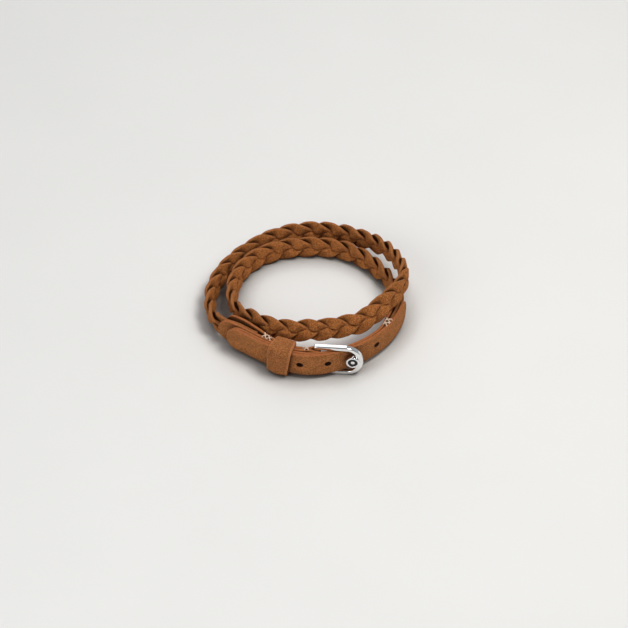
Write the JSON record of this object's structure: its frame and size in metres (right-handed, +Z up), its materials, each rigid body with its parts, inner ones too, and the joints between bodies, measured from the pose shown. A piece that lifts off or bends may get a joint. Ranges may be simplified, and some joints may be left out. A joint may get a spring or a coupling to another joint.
{
  "type": "braided leather bracelet",
  "caption": "Double-wrap flat-braided suede bracelet with strap ends, a sliding keeper and a horseshoe pin buckle, lying closed.",
  "frame": {"origin": "centre of the box that the lying bracelet fills, on the surface it lies on", "axes": "+Z up along the wrist axis, -Y towards the buckle side, +X towards the right of a person who faces the buckle"},
  "size_m": [0.0706, 0.071, 0.019],
  "materials": {
    "suede": "cognac suede with a short nap",
    "lining": "cognac suede, painted smooth along the edges",
    "braid_suede": "cognac suede lace with a short nap",
    "steel": "polished steel",
    "enamel": "black enamel",
    "thread": "pale copper waxed thread"
  },
  "bodies": {
    "band": {"hole_strap_outer": "suede", "hole_strap_lining": "lining", "buckle_strap_outer": "suede", "buckle_strap_lining": "lining", "braid_strand_1": "braid_suede", "braid_strand_2": "braid_suede", "braid_strand_3": "braid_suede", "buckle_bar": "steel", "hole_strap_stitches": "thread", "braid_end_stitches": "thread", "fold_stitches": "thread"},
    "frame": {"buckle_frame": "steel", "boss_inlay": "enamel", "boss_dot": "steel"},
    "tongue": {"buckle_tongue": "steel"},
    "keeper": {"keeper_loop": "suede"}
  },
  "joints": [
    {"name": "frame_swing", "type": "hinge", "parent": "band", "child": "frame", "pos_m": [0.00362, -0.0319, 0.00625], "axis": [0, 0, -1], "range_deg": [0, 75]},
    {"name": "tongue_swing", "type": "hinge", "parent": "band", "child": "tongue", "pos_m": [0.00362, -0.0319, 0.00625], "axis": [0, 0, 1], "range_deg": [0, 32]},
    {"name": "keeper_slide", "type": "hinge", "parent": "band", "child": "keeper", "pos_m": [0.00532, -0.0026, 0.00625], "axis": [0, 0, 1], "range_deg": [-1.4, 5]}
  ]
}
